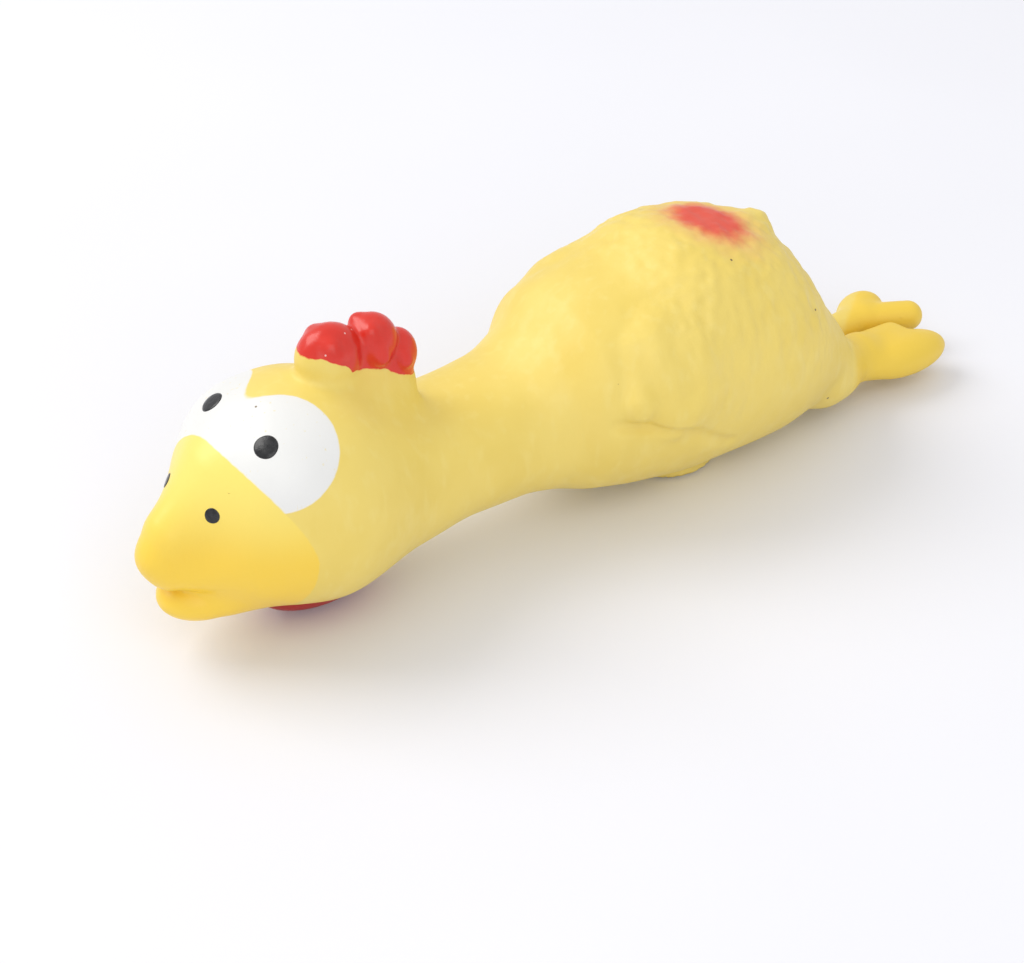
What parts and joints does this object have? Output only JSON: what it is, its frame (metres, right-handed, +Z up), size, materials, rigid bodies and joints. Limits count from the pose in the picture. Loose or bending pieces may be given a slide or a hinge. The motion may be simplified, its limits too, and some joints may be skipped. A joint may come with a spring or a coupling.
{
  "type": "rubber chicken",
  "caption": "Soft latex chicken lying on its belly: bendy neck, lifting head, flapping feet, flanks that squeeze, and a squeaker set flush in the belly.",
  "frame": {"origin": "on the surface it lies on, half way between the tip of the beak and the tip of the longer toe, in the bird's middle plane", "axes": "+X towards the feet, so the beak points to -X; +Y to the bird's right; +Z up"},
  "size_m": [0.1714, 0.0424, 0.0532],
  "materials": {
    "latex_yellow": "satin moulded latex, pebbled on the back",
    "beak_yellow": "sprayed coat on latex, satin",
    "foot_yellow": "sprayed coat on latex, satin",
    "comb_red": "brushed coat on latex, semi-gloss",
    "wattle_red": "brushed coat on latex, semi-gloss",
    "paint_white": "smooth white coat, satin",
    "paint_black": "drop of gloss black paint",
    "squeaker_white": "moulded plastic",
    "reed_film": "thin plastic film"
  },
  "bodies": {
    "torso": {"torso_skin": "latex_yellow", "squeaker_housing": "squeaker_white", "squeaker_reed_block": "squeaker_white", "squeaker_reed_clamp": "squeaker_white"},
    "neck": {"neck_skin": "latex_yellow"},
    "head": {"head_skin": "latex_yellow", "upper_beak": "beak_yellow", "lower_beak": "beak_yellow", "comb": "comb_red", "wattle": "wattle_red", "eye_white": "paint_white", "left_pupil": "paint_black", "right_pupil": "paint_black", "left_nostril": "paint_black", "right_nostril": "paint_black"},
    "left_flank": {"left_flank": "latex_yellow"},
    "right_flank": {"right_flank": "latex_yellow"},
    "left_foot": {"left_foot": "foot_yellow"},
    "right_foot": {"right_foot": "foot_yellow"},
    "reed": {"squeaker_reed": "reed_film"}
  },
  "joints": [
    {"name": "neck_bend", "type": "hinge", "parent": "torso", "child": "neck", "pos_m": [-0.01775, 0, 0.0206], "axis": [0, 0, 1], "range_deg": [-25, 25], "stiffness_Nm_per_rad": 0.05},
    {"name": "head_lift", "type": "hinge", "parent": "neck", "child": "head", "pos_m": [-0.03575, 0, 0.0206], "axis": [0, 1, 0], "range_deg": [0, 20], "stiffness_Nm_per_rad": 0.05},
    {"name": "left_squeeze", "type": "slide", "parent": "torso", "child": "left_flank", "axis": [0, 1, 0], "range_m": [0, 0.008], "stiffness_N_per_m": 150},
    {"name": "right_squeeze", "type": "slide", "parent": "torso", "child": "right_flank", "axis": [0, -1, 0], "range_m": [0, 0.008], "stiffness_N_per_m": 150},
    {"name": "left_foot_flap", "type": "hinge", "parent": "torso", "child": "left_foot", "pos_m": [0.06125, -0.0088, 0.0092], "axis": [0, -1, 0], "range_deg": [-5, 25], "stiffness_Nm_per_rad": 0.01},
    {"name": "right_foot_flap", "type": "hinge", "parent": "torso", "child": "right_foot", "pos_m": [0.06125, 0.0088, 0.0092], "axis": [0, -1, 0], "range_deg": [-5, 25], "stiffness_Nm_per_rad": 0.01},
    {"name": "reed_flex", "type": "hinge", "parent": "torso", "child": "reed", "pos_m": [0.02275, 0, 0.006], "axis": [1, 0, 0], "range_deg": [-2.5, 2.5], "stiffness_Nm_per_rad": 0.00003}
  ]
}
